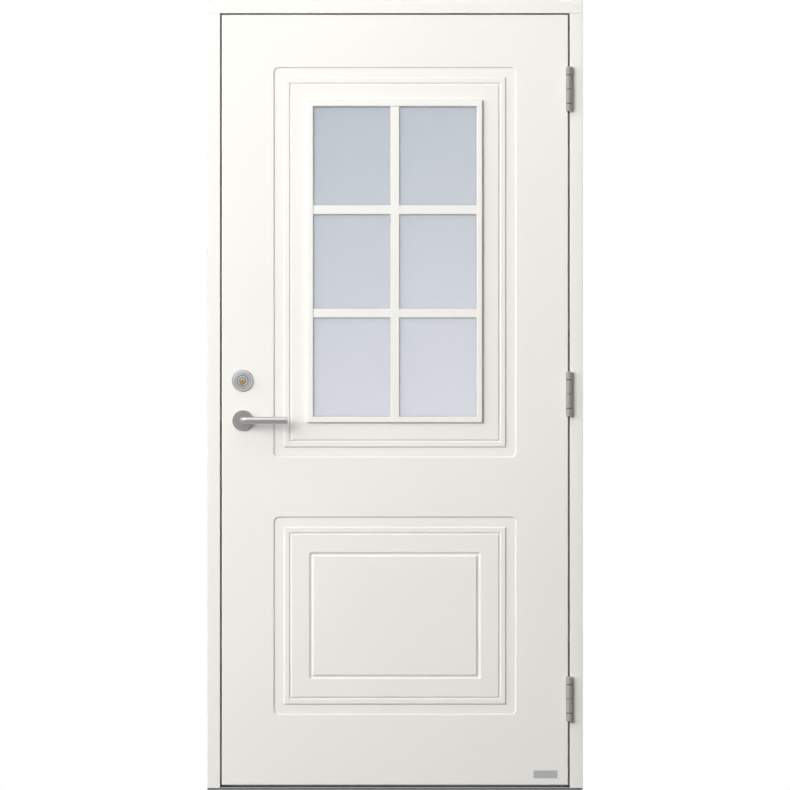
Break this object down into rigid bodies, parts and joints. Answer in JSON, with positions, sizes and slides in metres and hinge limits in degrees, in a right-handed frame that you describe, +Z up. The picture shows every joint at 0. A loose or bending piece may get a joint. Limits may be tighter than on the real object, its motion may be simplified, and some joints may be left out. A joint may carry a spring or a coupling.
{
  "type": "panelled front door",
  "caption": "Insulated front door leaf with routed panels and a divided glass light, hung in its wooden frame with lever handle, lock, sill and lift-off hinges.",
  "frame": {"origin": "middle of the underside of the sill", "axes": "+Z up, +X towards the hinges, -Y towards the outside"},
  "size_m": [0.99, 0.1908, 2.09],
  "materials": {
    "white_paint": "smooth painted",
    "timber": "planed softwood",
    "foam": "cut foam",
    "sill_timber": "grey painted hardwood",
    "aluminium": "anodised",
    "seal_rubber": "matt",
    "glass": "clear",
    "spacer": "matt",
    "white_plastic": "satin",
    "black_plastic": "matt",
    "satin_steel": "satin",
    "zinc_steel": "zinc plated",
    "chrome": "bright",
    "brass": "polished"
  },
  "bodies": {
    "frame": {"frame_head": "white_paint", "lock_jamb": "white_paint", "hinge_jamb": "white_paint", "frame_stops": "white_paint", "sill_base": "sill_timber", "sill_plate": "aluminium", "frame_seal": "seal_rubber", "corner_screws": "zinc_steel", "fixing_sleeves": "zinc_steel", "strike_plate": "satin_steel", "strike_box": "black_plastic", "strike_screws": "zinc_steel", "hinge_frame_halves": "satin_steel", "hinge_pins": "satin_steel", "hinge_washers": "satin_steel", "hinge_bottom_caps": "satin_steel", "frame_hinge_screws": "zinc_steel"},
    "handle": {"outer_lever": "satin_steel", "inner_lever": "satin_steel", "spindle": "zinc_steel", "follower": "zinc_steel"},
    "latch": {"latch_bolt": "satin_steel"},
    "bolt": {"deadbolt": "satin_steel"},
    "key": {"key_plug": "brass"},
    "turn": {"thumb_turn": "chrome"},
    "leaf": {"outer_skin": "white_paint", "inner_skin": "white_paint", "lock_stile": "white_paint", "hinge_stile": "white_paint", "top_rail": "white_paint", "bottom_rail": "white_paint", "light_rails": "timber", "light_stiles": "timber", "insulation_core": "foam", "outer_pane": "glass", "middle_pane": "glass", "inner_pane": "glass", "glass_spacers": "spacer", "setting_blocks": "black_plastic", "outer_glazing_frame": "white_plastic", "inner_glazing_frame": "white_plastic", "outer_muntins": "white_plastic", "inner_muntins": "white_plastic", "outer_glazing_seal": "seal_rubber", "inner_glazing_seal": "seal_rubber", "lock_case": "zinc_steel", "forend": "satin_steel", "forend_screws": "zinc_steel", "outer_rose": "satin_steel", "inner_rose": "satin_steel", "rose_screws": "zinc_steel", "cylinder_ring": "chrome", "cylinder_body": "chrome", "thumb_turn_rose": "chrome", "cylinder_screws": "zinc_steel", "hinge_leaf_halves": "satin_steel", "hinge_top_caps": "satin_steel", "leaf_hinge_screws": "zinc_steel"}
  },
  "joints": [
    {"name": "leaf_swing", "type": "hinge", "parent": "frame", "child": "leaf", "pos_m": [0.459, -0.0615, 1.05165], "axis": [0, 0, 1], "range_deg": [0, 170]},
    {"name": "handle_turn", "type": "hinge", "parent": "leaf", "child": "handle", "pos_m": [-0.402, -0.0205, 0.982], "axis": [0, 1, 0], "range_deg": [0, 45], "stiffness_Nm_per_rad": 2, "springref_deg": -20.05},
    {"name": "latch_slide", "type": "slide", "parent": "leaf", "child": "latch", "axis": [1, 0, 0], "range_m": [0, 0.012]},
    {"name": "thumb_turn_rotate", "type": "hinge", "parent": "leaf", "child": "turn", "pos_m": [-0.402, 0.0185, 1.082], "axis": [0, 1, 0], "range_deg": [0, 90]},
    {"name": "key_turn", "type": "hinge", "parent": "leaf", "child": "key", "pos_m": [-0.402, -0.05, 1.082], "axis": [0, 1, 0], "range_deg": [0, 90]},
    {"name": "deadbolt_slide", "type": "slide", "parent": "leaf", "child": "bolt", "axis": [-1, 0, 0], "range_m": [0, 0.02]}
  ],
  "couplings": [
    {"joint": "latch_slide", "follows": "handle_turn", "m_per_rad": 0.015278},
    {"joint": "key_turn", "follows": "thumb_turn_rotate", "ratio": 1},
    {"joint": "deadbolt_slide", "follows": "thumb_turn_rotate", "m_per_rad": 0.012732}
  ]
}
